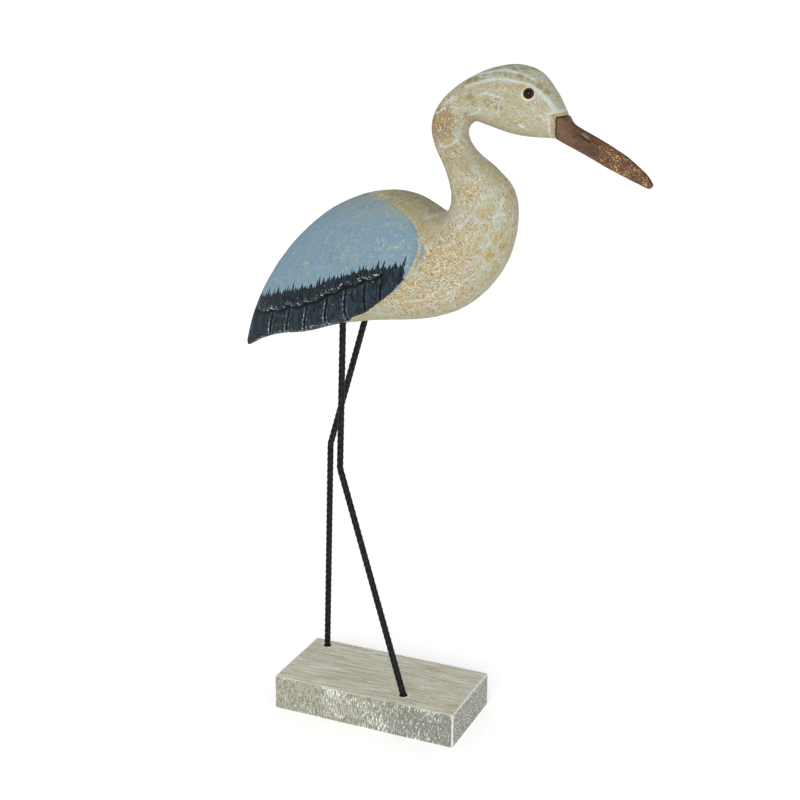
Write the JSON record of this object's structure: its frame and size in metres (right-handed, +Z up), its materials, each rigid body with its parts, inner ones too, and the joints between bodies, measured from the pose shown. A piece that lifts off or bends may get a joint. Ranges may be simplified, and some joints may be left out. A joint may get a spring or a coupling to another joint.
{
  "type": "wooden egret statue",
  "caption": "Carved and painted wooden egret with a curved neck and long bill, on bent ribbed steel legs set in a rectangular wood base.",
  "frame": {"origin": "centre of the underside of the base", "axes": "+Z up, +X along the base in the direction the bird faces, +Y to the bird's left"},
  "size_m": [0.2719, 0.065, 0.443],
  "materials": {
    "painted_wood": "whitewashed ochre and olive paint on carved wood, grey-blue and near-black wings, sanded at the edges",
    "bill_wood": "reddish brown paint, rubbed through to pale specks towards the tip",
    "eye_bead": "glossy near-black bead with a reddish brown rim",
    "black_steel": "satin black paint on ribbed steel bar",
    "base_wood": "grey-beige whitewash on rough-sawn wood, white worn arrises"
  },
  "bodies": {
    "root": {"carved_body": "painted_wood", "bill": "bill_wood", "eye_left": "eye_bead", "eye_right": "eye_bead", "leg_left": "black_steel", "leg_right": "black_steel", "base": "base_wood"}
  },
  "joints": []
}
